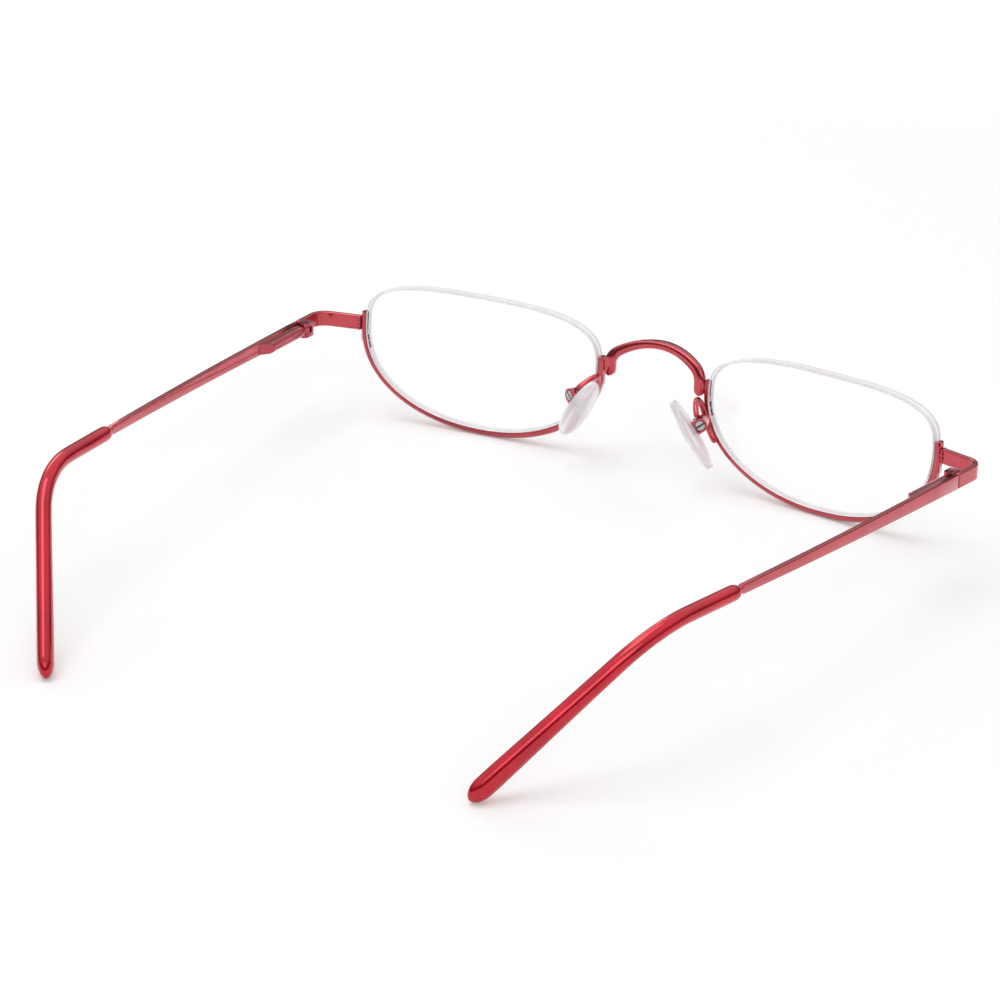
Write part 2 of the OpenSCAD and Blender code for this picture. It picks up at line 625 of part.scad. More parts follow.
// Pad box: a cup with a round back, open towards the pad and recessed round the screw's head
box_r = box_w / 2;
module pad_box(s) {
    slot_w = tab_t + 0.2;
    color(red) side(s) on_pad() difference() {
        rotate([90, 0, 0]) linear_extrude(box_w, center = true) polygon(concat(
            [[-box_d, -box_r]], [for (a = [-90:15:90]) box_r * [cos(a), sin(a)]], [[-box_d, box_r]]));
        translate([-box_d - 1, -slot_w / 2, -box_w]) cube([box_d + 1 + box_r - box_wall, slot_w, 2 * box_w]);
        rotate([90, 0, 0]) cylinder(d = pad_screw_d + 0.08, h = box_w + 2, center = true);
        translate([0, box_r - 0.45, 0]) rotate([-90, 0, 0]) cylinder(d = pad_head_d + 0.2, h = 1);
    }
}
module pad_screw(s) {
    color(steel) side(s) on_pad() rotate([-90, 0, 0]) difference() {
        union() {
            translate([0, 0, -box_r]) cylinder(d = pad_screw_d, h = box_w - 0.3);
            translate([0, 0, box_r - 0.43]) cylinder(d = pad_head_d, h = 0.5);
        }
        translate([0, 0, box_r + 0.07]) cube([pad_head_d + 1, 0.28, 0.44], center = true);
    }
}
// Insert: a tab in the box and a plate moulded into the pad
pad_back = -box_d - pad_gap;
plate_x = pad_back - pad_t / 4;
plate_t = 0.4;
plate_w = 2;
plate_l = 3;
tab_w = 1.4;
module insert_solid(grow) {
    g = 2 * grow;
    translate([plate_x, 0, 0]) cube([plate_t + g, plate_w + g, plate_l + g], center = true);
    translate([plate_x / 2, 0, 0]) cube([-plate_x, tab_t + g, tab_w + g], center = true);
}
module pad_insert(s) {
    color(clear) side(s) on_pad() difference() {
        union() {
            insert_solid(0);
            rotate([90, 0, 0]) cylinder(d = tab_w, h = tab_t, center = true);
        }
        rotate([90, 0, 0]) cylinder(d = pad_screw_d + 2 * screw_fit, h = 4, center = true);
    }
}
// Nose pad: an oval cushion with a crowned face
module nose_pad(s) {
    steps = 14;
    rows = [for (i = [0:steps]) -cos(180 * i / steps)];
    color(clear, 0.5) side(s) on_pad() difference() {
        loft([for (u = rows)
            let (v = max(sqrt(1 - u * u), 0.08), half = pad_w / 2 * v * (1 - 0.08 * u),
                t = pad_t / 2 * mix(0.3, 1, sqrt(v)))
            ring([pad_back - pad_t / 2, 0, u * pad_l / 2 - pad_sink],
                [1, 0, 0], [0, 1, 0], t, half, 2.4, 16)]);
        insert_solid(0.03);
    }
}

// Pad arm: a foot along the rear of the rim, a loop over its top and a run down to the box
arm_off = rim_in + arm_d / 2 + lens_fit;
arm_depth = rim_w / 2 + arm_d / 2 + braze / 2;
foot_high = edge_angle(rim_end_in - hole_drop_in - cord_pitch - cord_d, true);
foot_low = edge_angle(rim_end_in - hole_drop_in - cord_pitch - cord_d - foot_run, true);
function bezier(a, b, c, d, t) =
    pow(1 - t, 3) * a + 3 * pow(1 - t, 2) * t * b + 3 * (1 - t) * t * t * c + pow(t, 3) * d;
module pad_arm(s) {
    foot = [for (i = [0:6]) at_lens(mix(foot_low, foot_high, i / 6), arm_off, arm_depth)];
    start = unit(foot[1] - foot[0]);
    up = unit(foot[6] - foot[5]);
    crest = foot[6] + [-loop_in, loop_back, loop_rise];
    seat_dir = [cos(arm_seat), 0, sin(arm_seat)];
    seat = from_pad(seat_dir * (box_r + 2 * braze));
    out = from_pad(seat_dir * (box_r + 1)) - from_pad(seat_dir * box_r);
    over = unit([seat.x - foot[6].x, seat.y - foot[6].y, 0]);
    rise = [for (i = [1:8]) bezier(foot[6], foot[6] + up * loop_rise / 2, crest - over, crest, i / 8)];
    ease = loop_back / 2;
    fall = [for (i = [1:9]) bezier(crest, crest + over * ease, seat + out * ease, seat, i / 9)];
    end = [for (k = [0.95, 0.6]) foot[0] - start * arm_d / 2 * k];
    path = concat(end, foot, rise, fall);
    rings = wire(path, arm_d / 2, [1, 0, 0]);
    color(red) side(s) loft([for (i = [0:len(path) - 1]) let (k = i == 0 ? 0.35 : i == 1 ? 0.8 : 1)
        [for (p = rings[i]) path[i] + k * (p - path[i])]]);
}

// Stand: the frame rests on the rims' lowest points and the ends of the tips, centred front to back
tip_end = [for (d = [3.2, 2.2, 1.3, 0.6, 0.2, 0]) let (l = tip_l - d, h = tip_half(l))
    each [for (p = tip_ring(l, h.x, h.y, 2, 16)) from_hinge(p)]];
rim_low = [for (a = [260:5:280], w = [-rim_flat, rim_flat]) at_lens(a, rim_out, w)];
tip_low = tip_end[search(min([for (p = tip_end) p.z]), [for (p = tip_end) p.z])[0]];
rim_foot = at_lens(270, rim_out, 0);
stand_tilt = atan2(rim_foot.z - tip_low.z, tip_low.y - rim_foot.y);
tilted_end = [for (p = tip_end) turn_x(p, stand_tilt)];
tilted_rim = [for (p = rim_low) turn_x(p, stand_tilt)];
lens_front = [for (a = [60:5:150]) turn_x(at_lens(a, 0, -groove_set), stand_tilt).y];
crown_front = turn_x([0, foot_y - bridge_bow - crown_w / 2, bridge_top - crown_h / 2], stand_tilt).y;
stand_z = -min([for (p = concat(tilted_end, tilted_rim)) p.z]);
stand_y = -(min(concat(lens_front, [crown_front])) + max([for (p = tilted_end) p.y])) / 2;
module stand() {
    translate([0, stand_y, stand_z]) rotate([stand_tilt, 0, 0]) children();
}
function stood(p) = turn_x(p, stand_tilt) + [0, stand_y, stand_z];
// Places and directions of the left joints on the standing frame
echo(fold_point = stood([hinge_x, hinge_y, 0]), fold_axis = turn_x([0, 0, 1], stand_tilt));
echo(draw_axis = turn_x(turn_z([0, 1, 0], splay), stand_tilt), cord_point = stood(from_hinge(tip_along(6))));
echo(ear_point = stood(from_hinge(tip_along(tip_straight + tip_arc / 2))));
echo(pad_point = stood(from_pad([0, 0, 0])), pad_axis = unit(stood(from_pad([0, 1, 0])) - stood(from_pad([0, 0, 0]))));

stand() bridge();
stand() lens(left);  // left_lens
stand() lens(right);  // right_lens
stand() lens_cord(left);  // left_lens_cord
stand() lens_cord(right);  // right_lens_cord
stand() rim_liner(left);  // left_rim_liner
stand() rim_liner(right);  // right_rim_liner
stand() rim(left);  // left_rim
stand() rim(right);  // right_rim
stand() endpiece(left);  // left_endpiece
stand() endpiece(right);  // right_endpiece
stand() front_hinge(left);  // left_front_hinge
stand() front_hinge(right);  // right_front_hinge
stand() hinge_screw(left);  // left_hinge_screw
stand() hinge_screw(right);  // right_hinge_screw
stand() pad_arm(left);  // left_pad_arm
stand() pad_arm(right);  // right_pad_arm
stand() pad_box(left);  // left_pad_box
stand() pad_box(right);  // right_pad_box
stand() pad_screw(left);  // left_pad_screw
stand() pad_screw(right);  // right_pad_screw
stand() nose_pad(left);  // left_nose_pad
stand() nose_pad(right);  // right_nose_pad
stand() pad_insert(left);  // left_pad_insert
stand() pad_insert(right);  // right_pad_insert
stand() hinge_plunger(left);  // left_hinge_plunger
stand() hinge_plunger(right);  // right_hinge_plunger
stand() spring_bush(left);  // left_spring_bush
stand() spring_bush(right);  // right_spring_bush
stand() hinge_spring(left);  // left_hinge_spring
stand() hinge_spring(right);  // right_hinge_spring
stand() spring_retainer(left);  // left_spring_retainer
stand() spring_retainer(right);  // right_spring_retainer
stand() spring_housing(left);  // left_spring_housing
stand() spring_housing(right);  // right_spring_housing
stand() temple_bar(left);  // left_temple_bar
stand() temple_bar(right);  // right_temple_bar
stand() temple_tip(left);  // left_temple_tip
stand() temple_tip(right);  // right_temple_tip
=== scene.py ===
import json
import math
import bmesh
import bpy
from mathutils import Matrix, Vector, noise
from mathutils.bvhtree import BVHTree


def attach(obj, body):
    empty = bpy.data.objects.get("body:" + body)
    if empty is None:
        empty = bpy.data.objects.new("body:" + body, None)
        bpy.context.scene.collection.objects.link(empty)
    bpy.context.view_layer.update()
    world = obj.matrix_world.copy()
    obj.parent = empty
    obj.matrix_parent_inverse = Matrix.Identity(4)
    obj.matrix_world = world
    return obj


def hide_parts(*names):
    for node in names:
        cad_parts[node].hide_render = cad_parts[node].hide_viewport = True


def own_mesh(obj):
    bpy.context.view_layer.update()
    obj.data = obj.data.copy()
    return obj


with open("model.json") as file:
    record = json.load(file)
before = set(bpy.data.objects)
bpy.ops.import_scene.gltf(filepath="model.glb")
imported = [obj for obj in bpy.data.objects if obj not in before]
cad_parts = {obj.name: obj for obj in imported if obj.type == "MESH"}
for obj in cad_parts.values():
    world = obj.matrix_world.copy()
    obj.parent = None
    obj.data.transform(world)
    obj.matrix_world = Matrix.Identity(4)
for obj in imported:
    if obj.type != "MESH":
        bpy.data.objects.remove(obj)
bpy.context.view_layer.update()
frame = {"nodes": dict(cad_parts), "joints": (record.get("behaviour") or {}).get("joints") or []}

mm = 0.001
sides = {"left": 1, "right": -1}


# Camera: the photo's viewing angle, from behind and above the wearer's right
cameraSettings = {
    "azimuth": 212.448,
    "elevation": 24.0,
    "roll": -0.544,
    "distance": 0.8041,
    "target": (0.02688, -0.05176, -0.00864),
    "lens": 157.75,    # mm, as the sensor's width is
    "sensor": 36.0,
    "near": 0.01,
}


def addCamera(settings):
    a, e, r = (math.radians(settings[k]) for k in ("azimuth", "elevation", "roll"))
    back = Vector((math.sin(a) * math.cos(e), -math.cos(a) * math.cos(e), math.sin(e)))
    across = (-back).cross(Vector((0, 0, 1))).normalized()
    up = across.cross(-back)
    x = across * math.cos(r) + up * math.sin(r)
    y = up * math.cos(r) - across * math.sin(r)
    data = bpy.data.cameras.new("camera")
    data.lens = settings["lens"]
    data.sensor_width = settings["sensor"]
    data.sensor_fit = "HORIZONTAL"
    data.clip_start = settings["near"]
    camera = bpy.data.objects.new("camera", data)
    place = Matrix((x, y, back)).transposed().to_4x4()
    place.translation = Vector(settings["target"]) + back * settings["distance"]
    camera.matrix_world = place
    bpy.context.scene.collection.objects.link(camera)
    bpy.context.scene.camera = camera
    print("camera placed")


# Node helpers
def newMaterial(name):
    material = bpy.data.materials.new(name)
    material.use_nodes = True
    nodes = material.node_tree.nodes
    nodes.clear()
    output = nodes.new("ShaderNodeOutputMaterial")
    shader = nodes.new("ShaderNodeBsdfPrincipled")
    material.node_tree.links.new(shader.outputs["BSDF"], output.inputs["Surface"])
    return material, shader


def newGroup(name, inputs, outputs):
    tree = bpy.data.node_groups.new(name, "ShaderNodeTree")
    for label, kind, value in inputs:
        socket = tree.interface.new_socket(label, in_out="INPUT", socket_type=kind)
        socket.default_value = value
    for label, kind in outputs:
        tree.interface.new_socket(label, in_out="OUTPUT", socket_type=kind)
    return tree, tree.nodes.new("NodeGroupInput"), tree.nodes.new("NodeGroupOutput")


def placeGroup(material, tree, values):
    node = material.node_tree.nodes.new("ShaderNodeGroup")
    node.node_tree = tree
    for label, value in values.items():
        node.inputs[label].default_value = value
    return node


# Turns one range of a value into another
def addSpan(nodes, links, value, span):
    node = nodes.new("ShaderNodeMapRange")
    for label, end in span.items():
        node.inputs[label].default_value = end
    links.new(value, node.inputs["Value"])
    return node


def addMath(nodes, links, operation, first, second):
    node = nodes.new("ShaderNodeMath")
    node.operation = operation
    links.new(first, node.inputs[0])
    links.new(second, node.inputs[1])
    return node.outputs["Value"]


def addMix(nodes, links, amount, first, second):
    node = nodes.new("ShaderNodeMix")
    node.data_type = "RGBA"
    links.new(amount, node.inputs["Factor"])
    links.new(first, node.inputs["A"])
    links.new(second, node.inputs["B"])
    return node.outputs["Result"]


# Shared effect: two tones of a colour in soft clouds, and a third along the edges, which is painted light:
# a painted shade where it is darker, a painted highlight where it is lighter
toneGroupSettings = {
    "detail": 3,
    "clouds": {"From Min": 0.35, "From Max": 0.65},
    "samples": 4,
    "edge": {"From Min": 0.995, "From Max": 0.9},    # from the rounded normal's cosine with the real one
}


def buildToneGroup():
    tree, given, result = newGroup("toneClouds", [
        ("Light", "NodeSocketColor", (0.8, 0.8, 0.8, 1)),
        ("Dark", "NodeSocketColor", (0.4, 0.4, 0.4, 1)),
        ("Edge", "NodeSocketColor", (0.2, 0.2, 0.2, 1)),
        ("Scale", "NodeSocketFloat", 400.0),
        ("Edge Radius", "NodeSocketFloat", 0.0002),
        ("Edge Amount", "NodeSocketFloat", 0.5),
    ], [("Color", "NodeSocketColor")])
    nodes, links = tree.nodes, tree.links
    place = nodes.new("ShaderNodeTexCoord")
    clouds = nodes.new("ShaderNodeTexNoise")
    clouds.inputs["Detail"].default_value = toneGroupSettings["detail"]
    links.new(place.outputs["Object"], clouds.inputs["Vector"])
    links.new(given.outputs["Scale"], clouds.inputs["Scale"])
    spread = addSpan(nodes, links, clouds.outputs["Fac"], toneGroupSettings["clouds"])
    tones = addMix(nodes, links, spread.outputs["Result"], given.outputs["Light"], given.outputs["Dark"])
    rounded = nodes.new("ShaderNodeBevel")
    rounded.samples = toneGroupSettings["samples"]
    links.new(given.outputs["Edge Radius"], rounded.inputs["Radius"])
    flat = nodes.new("ShaderNodeNewGeometry")
    same = nodes.new("ShaderNodeVectorMath")
    same.operation = "DOT_PRODUCT"
    links.new(rounded.outputs["Normal"], same.inputs[0])
    links.new(flat.outputs["Normal"], same.inputs[1])
    # where the painted edge light goes
    mask = addSpan(nodes, links, same.outputs["Value"], toneGroupSettings["edge"])
    amount = addMath(nodes, links, "MULTIPLY", mask.outputs["Result"], given.outputs["Edge Amount"])
    edged = addMix(nodes, links, amount, tones, given.outputs["Edge"])
    links.new(edged, result.inputs["Color"])
    return tree


# Shared effect: fine unevenness of a finish, as roughness and as a normal
grainGroupSettings = {"detail": 4, "spread": {"From Min": 0.3, "From Max": 0.7}}


def buildGrainGroup():
    tree, given, result = newGroup("fineGrain", [
        ("Scale", "NodeSocketFloat", 3000.0),
        ("Smooth", "NodeSocketFloat", 0.15),
        ("Rough", "NodeSocketFloat", 0.3),
        ("Bump", "NodeSocketFloat", 0.1),
        ("Height", "NodeSocketFloat", 0.00002),
    ], [("Roughness", "NodeSocketFloat"), ("Normal", "NodeSocketVector")])
    nodes, links = tree.nodes, tree.links
    place = nodes.new("ShaderNodeTexCoord")
    grain = nodes.new("ShaderNodeTexNoise")
    grain.inputs["Detail"].default_value = grainGroupSettings["detail"]
    links.new(place.outputs["Object"], grain.inputs["Vector"])
    links.new(given.outputs["Scale"], grain.inputs["Scale"])
    span = addSpan(nodes, links, grain.outputs["Fac"], grainGroupSettings["spread"])
    links.new(given.outputs["Smooth"], span.inputs["To Min"])
    links.new(given.outputs["Rough"], span.inputs["To Max"])
    bump = nodes.new("ShaderNodeBump")
    links.new(grain.outputs["Fac"], bump.inputs["Height"])
    links.new(given.outputs["Bump"], bump.inputs["Strength"])
    links.new(given.outputs["Height"], bump.inputs["Distance"])
    links.new(span.outputs["Result"], result.inputs["Roughness"])
    links.new(bump.outputs["Normal"], result.inputs["Normal"])
    return tree


toneClouds = buildToneGroup()
fineGrain = buildGrainGroup()


def dressShader(material, shader, tones, grain, sockets):
    links = material.node_tree.links
    if tones:
        colour = placeGroup(material, toneClouds, tones)
        links.new(colour.outputs["Color"], shader.inputs["Base Color"])
    if grain:
        finish = placeGroup(material, fineGrain, grain)
        links.new(finish.outputs["Roughness"], shader.inputs["Roughness"])
        links.new(finish.outputs["Normal"], shader.inputs["Normal"])
    for label, value in sockets.items():
        shader.inputs[label].default_value = value


# Red lacquer over polished metal: the flat faces salmon in white light, and a painted greyer shade along
# the edges that stands in for their reflections
lacquerSettings = {
    "red": {
        "tones": {
            "Light": (0.56, 0.055, 0.075, 1), "Dark": (0.49, 0.04, 0.058, 1),
            "Edge": (0.22, 0.06, 0.10, 1), "Scale": 260.0, "Edge Radius": 0.00022, "Edge Amount": 0.75,
        },
        "grain": {"Scale": 2600.0, "Smooth": 0.12, "Rough": 0.20, "Bump": 0.05, "Height": 0.00001},
    },
    "darkRed": {
        "tones": {
            "Light": (0.50, 0.05, 0.075, 1), "Dark": (0.41, 0.035, 0.058, 1),
            "Edge": (0.20, 0.05, 0.09, 1), "Scale": 300.0, "Edge Radius": 0.00020, "Edge Amount": 0.7,
        },
        "grain": {"Scale": 2600.0, "Smooth": 0.14, "Rough": 0.22, "Bump": 0.05, "Height": 0.00001},
    },
    "sockets": {"Metallic": 0.85, "Coat Weight": 0.8, "Coat Roughness": 0.05, "Coat IOR": 1.5},
}


def lacquerMaterial(name, settings):
    material, shader = newMaterial(name)
    dressShader(material, shader, settings["tones"], settings["grain"], lacquerSettings["sockets"])
    return material


# Clear red plastic of the tips, through which the core wire shows
tipSettings = {
    "tones": {
        "Light": (0.76, 0.012, 0.038, 1), "Dark": (0.56, 0.008, 0.026, 1),
        "Edge": (0.4, 0.01, 0.03, 1), "Scale": 120.0, "Edge Radius": 0.0001, "Edge Amount": 0.0,
    },
    "grain": {"Scale": 900.0, "Smooth": 0.04, "Rough": 0.08, "Bump": 0.02, "Height": 0.00002},
    "sockets": {"Metallic": 0.4, "Transmission Weight": 0.4, "IOR": 1.45, "Specular IOR Level": 0.35,
                "Coat Weight": 0.4, "Coat Roughness": 0.03},
}


def tipMaterial():
    material, shader = newMaterial("clearRedPlastic")
    dressShader(material, shader, tipSettings["tones"], tipSettings["grain"], tipSettings["sockets"])
    return material


# Lenses: polished faces, and a frosted edge that shows as a pale band, with painted darker lines along its
# borders
lensSettings = {
    "corner": 25,     # degrees between faces that meet in a sharp edge
    "finer": 1,
    "flat": 0.8,      # cosine with the lens's axis, above which a face belongs to the polished sides
    "face": {"Base Color": (1, 1, 1, 1), "IOR": 1.5, "Transmission Weight": 1.0},
    "faceGrain": {"Scale": 300.0, "Smooth": 0.0, "Rough": 0.01, "Bump": 0.0, "Height": 0.00001},
    "edgeTones": {
        "Light": (0.98, 0.95, 0.97, 1), "Dark": (0.93, 0.88, 0.91, 1),
        "Edge": (0.50, 0.46, 0.49, 1), "Scale": 300.0, "Edge Radius": 0.00010, "Edge Amount": 0.1,
    },
    "edgeGrain": {"Scale": 4000.0, "Smooth": 0.30, "Rough": 0.45, "Bump": 0.0, "Height": 0.00001},
    "edge": {"IOR": 1.5, "Transmission Weight": 0.12},
}

shadowTint = (0.93, 0.93, 0.93, 1)    # of the light that gets through a clear piece


def letShadowsThrough(material, shader):
    nodes, links = material.node_tree.nodes, material.node_tree.links
    path = nodes.new("ShaderNodeLightPath")
    clear = nodes.new("ShaderNodeBsdfTransparent")
    clear.inputs["Color"].default_value = shadowTint
    mix = nodes.new("ShaderNodeMixShader")
    links.new(path.outputs["Is Shadow Ray"], mix.inputs["Fac"])
    links.new(shader.outputs["BSDF"], mix.inputs[1])
    links.new(clear.outputs["BSDF"], mix.inputs[2])
    links.new(mix.outputs["Shader"], nodes["Material Output"].inputs["Surface"])


def lensMaterials():
    face, shader = newMaterial("lensFace")
    dressShader(face, shader, None, lensSettings["faceGrain"], lensSettings["face"])
    letShadowsThrough(face, shader)
    edge, shader = newMaterial("lensEdge")
    dressShader(edge, shader, lensSettings["edgeTones"], lensSettings["edgeGrain"], lensSettings["edge"])
    letShadowsThrough(edge, shader)
    return face, edge


# Soft clear pads, a little milky, with a painted grey shade along their edges
padFinish = {
    "tones": {
        "Light": (0.99, 0.97, 0.99, 1), "Dark": (0.94, 0.91, 0.94, 1),
        "Edge": (0.80, 0.78, 0.81, 1), "Scale": 260.0, "Edge Radius": 0.0002, "Edge Amount": 0.3,
    },
    "grain": {"Scale": 900.0, "Smooth": 0.03, "Rough": 0.08, "Bump": 0.05, "Height": 0.00002},
    "sockets": {"Transmission Weight": 0.6, "IOR": 1.42, "Coat Weight": 0.0},
}


def clearMaterial(name, settings):
    material, shader = newMaterial(name)
    dressShader(material, shader, settings["tones"], settings["grain"], settings["sockets"])
    letShadowsThrough(material, shader)
    return material


# Nylon of the cords and liners
nylonFinish = {
    "tones": {
        "Light": (0.97, 0.95, 0.97, 1), "Dark": (0.93, 0.91, 0.93, 1),
        "Edge": (0.7, 0.7, 0.7, 1), "Scale": 300.0, "Edge Radius": 0.0001, "Edge Amount": 0.0,
    },
    "grain": {"Scale": 2500.0, "Smooth": 0.12, "Rough": 0.22, "Bump": 0.08, "Height": 0.00001},
    "sockets": {"Transmission Weight": 0.2, "IOR": 1.53},
}

# Inserts of the pads: clear, with grey edges, which are painted shade
insertFinish = {
    "tones": {
        "Light": (0.93, 0.92, 0.94, 1), "Dark": (0.86, 0.85, 0.87, 1),
        "Edge": (0.30, 0.29, 0.31, 1), "Scale": 700.0, "Edge Radius": 0.0002, "Edge Amount": 0.8,
    },
    "grain": {"Scale": 1800.0, "Smooth": 0.25, "Rough": 0.4, "Bump": 0.15, "Height": 0.00002},
    "sockets": {"Transmission Weight": 0.4, "IOR": 1.5},
}

# Steel: a bright kind with a painted highlight along its edges, and a copy with painted shade, dark as in a
# recess, with a painted pinkish reflection along its edges
steelSettings = {
    "bright": {
        "Light": (0.56, 0.55, 0.54, 1), "Dark": (0.42, 0.42, 0.42, 1),
        "Edge": (0.75, 0.75, 0.75, 1), "Scale": 900.0, "Edge Radius": 0.0001, "Edge Amount": 0.5,
    },
    "recessed": {
        "Light": (0.17, 0.07, 0.085, 1), "Dark": (0.06, 0.025, 0.03, 1),
        "Edge": (0.50, 0.26, 0.30, 1), "Scale": 900.0, "Edge Radius": 0.00008, "Edge Amount": 0.6,
    },
    "grain": {"Scale": 5000.0, "Smooth": 0.18, "Rough": 0.32, "Bump": 0.08, "Height": 0.00001},
    "sockets": {"Metallic": 1.0},
}


def steelMaterial(name, tones):
    material, shader = newMaterial(name)
    dressShader(material, shader, tones, steelSettings["grain"], steelSettings["sockets"])
    return material


redLacquer = lacquerMaterial("redLacquer", lacquerSettings["red"])
darkRedLacquer = lacquerMaterial("darkRedLacquer", lacquerSettings["darkRed"])
clearRedPlastic = tipMaterial()
lensFace, lensEdge = lensMaterials()
softClear = clearMaterial("softClear", padFinish)
clearNylon = clearMaterial("clearNylon", nylonFinish)
insertPlastic = clearMaterial("insertPlastic", insertFinish)
brightSteel = steelMaterial("brightSteel", steelSettings["bright"])
# the steel with painted shade, for screws that sit in recesses
recessedSteel = steelMaterial("recessedSteel", steelSettings["recessed"])
print("materials made")


# Fine copies of the frame's own solids: welded, with rounded edges and smooth shading
slotFinish = {
    "red_lacquer": redLacquer,
    "dark_red_lacquer": darkRedLacquer,
    "steel": brightSteel,
    "nylon": clearNylon,
    "tip_plastic": clearRedPlastic,
}

# "round" is the width of the rounded edges in mm, "smooth" the degrees up to which two faces shade as one
fineSettings = {
    "bridge": {"body": "front", "slot": "red_lacquer", "round": 0.16, "smooth": 40},
    "rim": {"body": "front", "slot": "red_lacquer", "round": 0.14, "smooth": 32},
    "endpiece": {"body": "front", "slot": "red_lacquer", "round": 0.32, "smooth": 32},
    "front_hinge": {"body": "front", "slot": "dark_red_lacquer", "round": 0.10, "smooth": 32},
    # the hinge screw takes the steel with painted shade, dark as in its recess
    "hinge_screw": {"body": "front", "slot": "steel", "finish": recessedSteel, "round": 0.04, "smooth": 32},
    "pad_arm": {"body": "front", "slot": "red_lacquer", "round": 0.0, "smooth": 60},
    "pad_box": {"body": "front", "slot": "red_lacquer", "round": 0.09, "smooth": 32},
    "pad_screw": {"body": "front", "slot": "steel", "round": 0.04, "smooth": 32},
    "lens_cord": {"body": "front", "slot": "nylon", "round": 0.0, "smooth": 60, "finer": 1},
    "rim_liner": {"body": "front", "slot": "nylon", "round": 0.0, "smooth": 60},
    "hinge_plunger": {"body": "plunger", "slot": "dark_red_lacquer", "round": 0.06, "smooth": 32},
    "spring_housing": {"body": "temple", "slot": "dark_red_lacquer", "round": 0.10, "smooth": 32},
    "temple_bar": {"body": "temple", "slot": "red_lacquer", "round": 0.2, "smooth": 50},
    "temple_tip": {"body": "temple", "slot": "tip_plastic", "round": 0.0, "smooth": 60, "finer": 2},
}
roundingSettings = {"segments": 3, "from": 36}    # degrees

# Lofted solids keep their rows of four-sided faces, and the others get one face for each flat side
weldSettings = {
    "distance": 0.0005,    # mm
    "lofted": ("temple_tip", "temple_bar", "pad_arm", "bridge", "lens"),
    "fold": 20,            # degrees between two triangles that still make one face
    "skew": 180,           # degrees that such a face may be off a rectangle
    "flat": 0.4,           # degrees between faces of one flat side
}


def meshFrom(name, shape):
    mesh = bpy.data.meshes.new(name)
    shape.to_mesh(mesh)
    shape.free()
    return mesh


def weldedMesh(node):
    shape = bmesh.new()
    shape.from_mesh(frame["nodes"][node].data)
    bmesh.ops.remove_doubles(shape, verts=shape.verts, dist=weldSettings["distance"] * mm)
    if any(part in node for part in weldSettings["lofted"]):
        bmesh.ops.join_triangles(shape, faces=shape.faces,
                                 angle_face_threshold=math.radians(weldSettings["fold"]),
                                 angle_shape_threshold=math.radians(weldSettings["skew"]))
    else:
        bmesh.ops.dissolve_limit(shape, angle_limit=math.radians(weldSettings["flat"]),
                                 verts=shape.verts, edges=shape.edges)
    return meshFrom(node + "_fine", shape)


def smoothBy(mesh, degrees):
    mesh.shade_smooth()
    mesh.set_sharp_from_angle(angle=math.radians(degrees))


def addPiece(name, mesh, body, replaced=()):
    piece = bpy.data.objects.new(name, mesh)
    bpy.context.scene.collection.objects.link(piece)
    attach(piece, body)
    if replaced:
        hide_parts(*replaced)
    return piece


def roundEdges(piece, width, fromAngle):
    rounding = piece.modifiers.new("rounding", "BEVEL")
    rounding.width = width * mm
    rounding.segments = roundingSettings["segments"]
    rounding.limit_method = "ANGLE"
    rounding.angle_limit = math.radians(fromAngle)
    return rounding


def makeFiner(piece, levels):
    finer = piece.modifiers.new("finer", "SUBSURF")
    finer.levels = levels
    finer.render_levels = levels


def fineCopy(node, settings):
    mesh = weldedMesh(node)
    mesh.materials.clear()
    mesh.materials.append(settings.get("finish", slotFinish[settings["slot"]]))
    smoothBy(mesh, settings["smooth"])
    body = settings["body"] if settings["body"] == "front" else node.split("_")[0] + "_" + settings["body"]
    piece = addPiece(node + "_fine", mesh, body, [node])
    if settings["round"]:
        rounding = roundEdges(piece, settings["round"], roundingSettings["from"])
        rounding.harden_normals = True
    if "finer" in settings:
        makeFiner(piece, settings["finer"])


for part, settings in fineSettings.items():
    for node in [part] if part in frame["nodes"] else [side + "_" + part for side in sides]:
        fineCopy(node, settings)
print("fine copies made")


# Rows of points become a closed skin: faces between the rows, and a pole at each end
def skinRows(shape, rows, poles):
    for a, b in zip(rows, rows[1:]):
        for k in range(len(a)):
            n = (k + 1) % len(a)
            shape.faces.new((a[k], a[n], b[n], b[k]))
    for row, tip in ((rows[0], poles[0]), (rows[-1], poles[1])):
        pole = shape.verts.new(tip)
        for k in range(len(row)):
            shape.faces.new((row[k], row[(k + 1) % len(row)], pole))
    bmesh.ops.recalc_face_normals(shape, faces=shape.faces)


def jointNamed(name):
    return [j for j in frame["joints"] if j["name"] == name][0]


def jointAxis(name):
    return Vector(jointNamed(name)["axis"]).normalized()


# Hinge collar: the red block on the plunger between the ears and the housing's mouth
collarSettings = {
    "clear": 0.03,      # mm from the housing
    "long": 1.2,
    "inset": 0.95,      # its outline, as a share of the housing's
    "mouth": 0.05,      # mm of the housing that are taken as its mouth
    "round": 0.12,
    "roundFrom": 50,    # degrees
    "smooth": 32,
}


# The convex outline of some points, in mm, seen along the line that both axes are square to
def outlineOf(points, across, up):
    flat = sorted({(round(p.dot(across) / mm, 4), round(p.dot(up) / mm, 4)) for p in points})

    def turnsLeft(a, b, c):
        return (b[0] - a[0]) * (c[1] - a[1]) - (b[1] - a[1]) * (c[0] - a[0]) > 0

    def half(order):
        chain = []
        for q in order:
            while len(chain) > 1 and not turnsLeft(chain[-2], chain[-1], q):
                chain.pop()
            chain.append(q)
        return chain[:-1]

    return half(flat) + half(flat[::-1])


